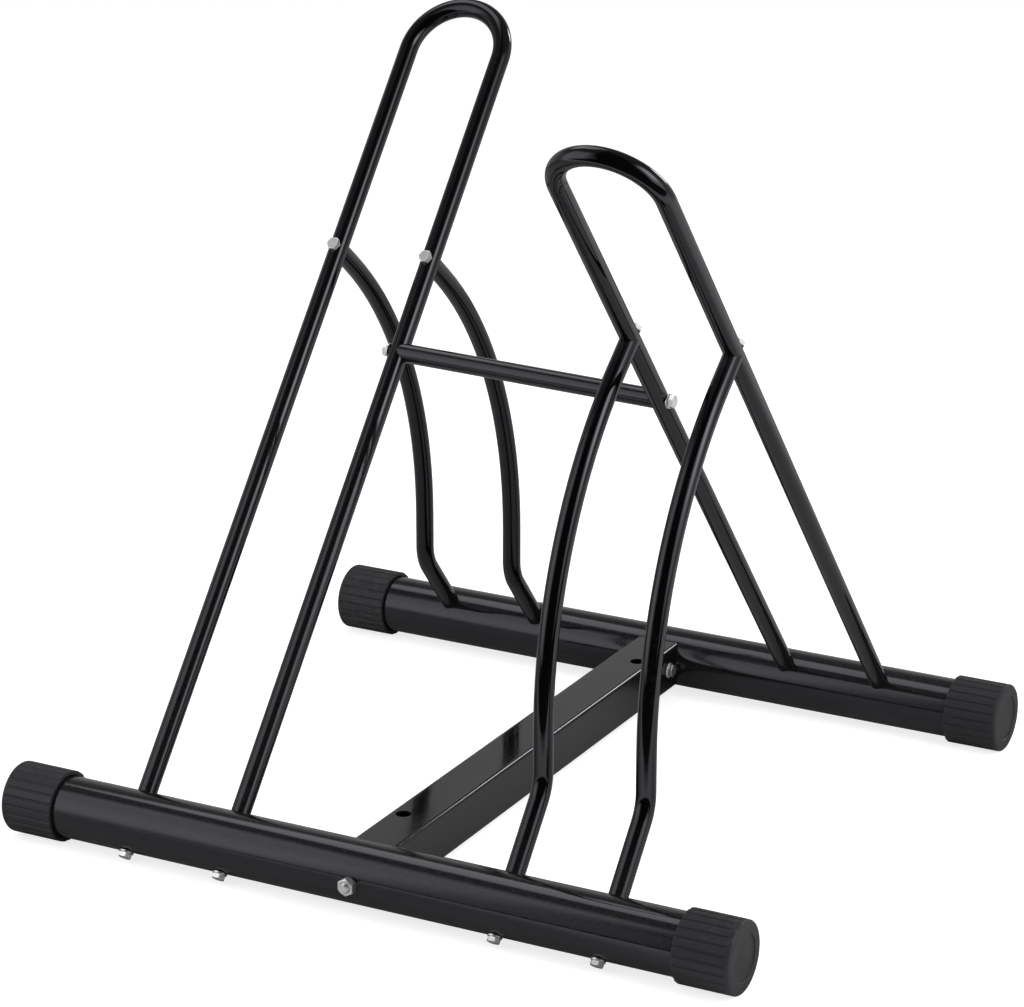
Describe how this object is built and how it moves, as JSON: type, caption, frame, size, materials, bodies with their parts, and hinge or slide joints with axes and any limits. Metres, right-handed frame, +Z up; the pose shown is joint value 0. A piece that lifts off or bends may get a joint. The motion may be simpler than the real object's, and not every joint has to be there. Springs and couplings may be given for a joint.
{
  "type": "floor bike rack",
  "caption": "Floor stand that holds bicycles by one wheel each: leaning tube hoops and bent guides on round base tubes joined by a square bar.",
  "frame": {"origin": "on the floor under the middle of the stand", "axes": "+X along the base tubes to the right, +Y from the front base tube to the rear one, +Z up"},
  "size_m": [0.6542, 0.6102, 0.6209],
  "materials": {
    "black_enamel": "gloss black enamel on steel tube",
    "cap_plastic": "matt black ribbed plastic",
    "zinc_steel": "bright zinc plate on steel"
  },
  "bodies": {
    "root": {"base_tube_front": "black_enamel", "base_tube_rear": "black_enamel", "centre_bar": "black_enamel", "centre_bolt_front": "zinc_steel", "centre_bolt_rear": "zinc_steel", "centre_nut_front": "zinc_steel", "centre_nut_rear": "zinc_steel", "cross_bolt_front": "zinc_steel", "cross_bolt_rear": "zinc_steel", "cross_nut_front": "zinc_steel", "cross_nut_rear": "zinc_steel", "end_cap_front_left": "cap_plastic", "end_cap_front_right": "cap_plastic", "end_cap_rear_left": "cap_plastic", "end_cap_rear_right": "cap_plastic", "foot_bolt_front_left_inner": "zinc_steel", "foot_bolt_front_left_outer": "zinc_steel", "foot_bolt_front_right_inner": "zinc_steel", "foot_bolt_front_right_outer": "zinc_steel", "foot_bolt_rear_left_inner": "zinc_steel", "foot_bolt_rear_left_outer": "zinc_steel", "foot_bolt_rear_right_inner": "zinc_steel", "foot_bolt_rear_right_outer": "zinc_steel", "foot_insert_front_left_inner": "zinc_steel", "foot_insert_front_left_outer": "zinc_steel", "foot_insert_front_right_inner": "zinc_steel", "foot_insert_front_right_outer": "zinc_steel", "foot_insert_rear_left_inner": "zinc_steel", "foot_insert_rear_left_outer": "zinc_steel", "foot_insert_rear_right_inner": "zinc_steel", "foot_insert_rear_right_outer": "zinc_steel", "foot_washer_front_left_inner": "zinc_steel", "foot_washer_front_left_outer": "zinc_steel", "foot_washer_front_right_inner": "zinc_steel", "foot_washer_front_right_outer": "zinc_steel", "foot_washer_rear_left_inner": "zinc_steel", "foot_washer_rear_left_outer": "zinc_steel", "foot_washer_rear_right_inner": "zinc_steel", "foot_washer_rear_right_outer": "zinc_steel", "guide_bolt_left_inner": "zinc_steel", "guide_bolt_left_outer": "zinc_steel", "guide_bolt_right_inner": "zinc_steel", "guide_bolt_right_outer": "zinc_steel", "guide_front_right_inner": "black_enamel", "guide_front_right_outer": "black_enamel", "guide_insert_left_inner": "zinc_steel", "guide_insert_left_outer": "zinc_steel", "guide_insert_right_inner": "zinc_steel", "guide_insert_right_outer": "zinc_steel", "guide_rear_left_inner": "black_enamel", "guide_rear_left_outer": "black_enamel", "hoop_left": "black_enamel", "hoop_right": "black_enamel", "tie_bar": "black_enamel", "tie_bolt_left": "zinc_steel", "tie_bolt_right": "zinc_steel", "tie_insert_left": "zinc_steel", "tie_insert_right": "zinc_steel", "tie_washer_left": "zinc_steel", "tie_washer_right": "zinc_steel"}
  },
  "joints": []
}
